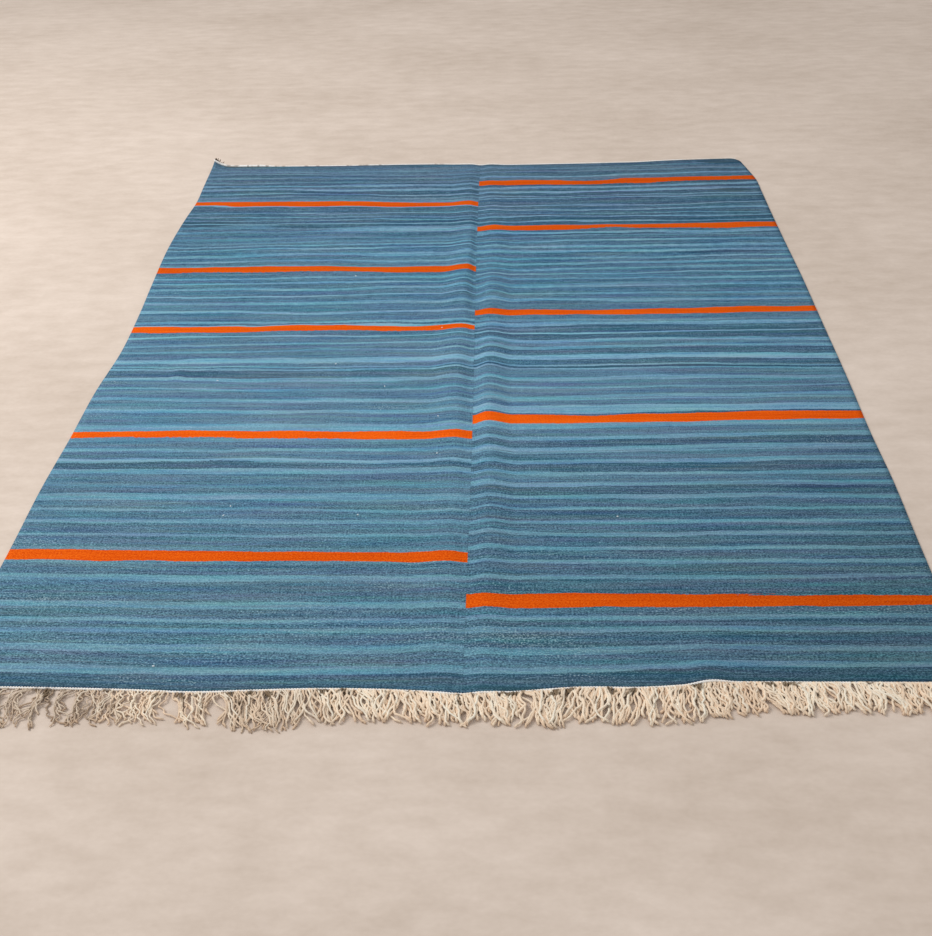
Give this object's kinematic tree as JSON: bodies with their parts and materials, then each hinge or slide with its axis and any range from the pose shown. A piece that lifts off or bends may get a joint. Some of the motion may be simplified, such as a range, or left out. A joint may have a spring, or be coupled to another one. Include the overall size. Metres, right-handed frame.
{
  "type": "striped flat-woven berber kilim rug",
  "caption": "Flat-woven striped wool rug with a soft fold down its middle and a long knotted cotton fringe at one end.",
  "frame": {"origin": "on the floor under the middle of the whole rug, fringe included", "axes": "+X across the rug, +Y up it from the long fringe to the far end, +Z up from the floor"},
  "size_m": [2.016, 2.6666, 0.0284],
  "materials": {
    "blue_wool": "matt weft-faced wool in light blue, slate and navy stripes with orange bars",
    "cream_cotton": "matt plied cream cotton, greyer and browner towards one side",
    "white_cotton": "matt off-white twined cotton"
  },
  "bodies": {
    "root": {"kilim_cloth": "blue_wool", "near_fringe": "cream_cotton", "far_fringe": "white_cotton"}
  },
  "joints": []
}
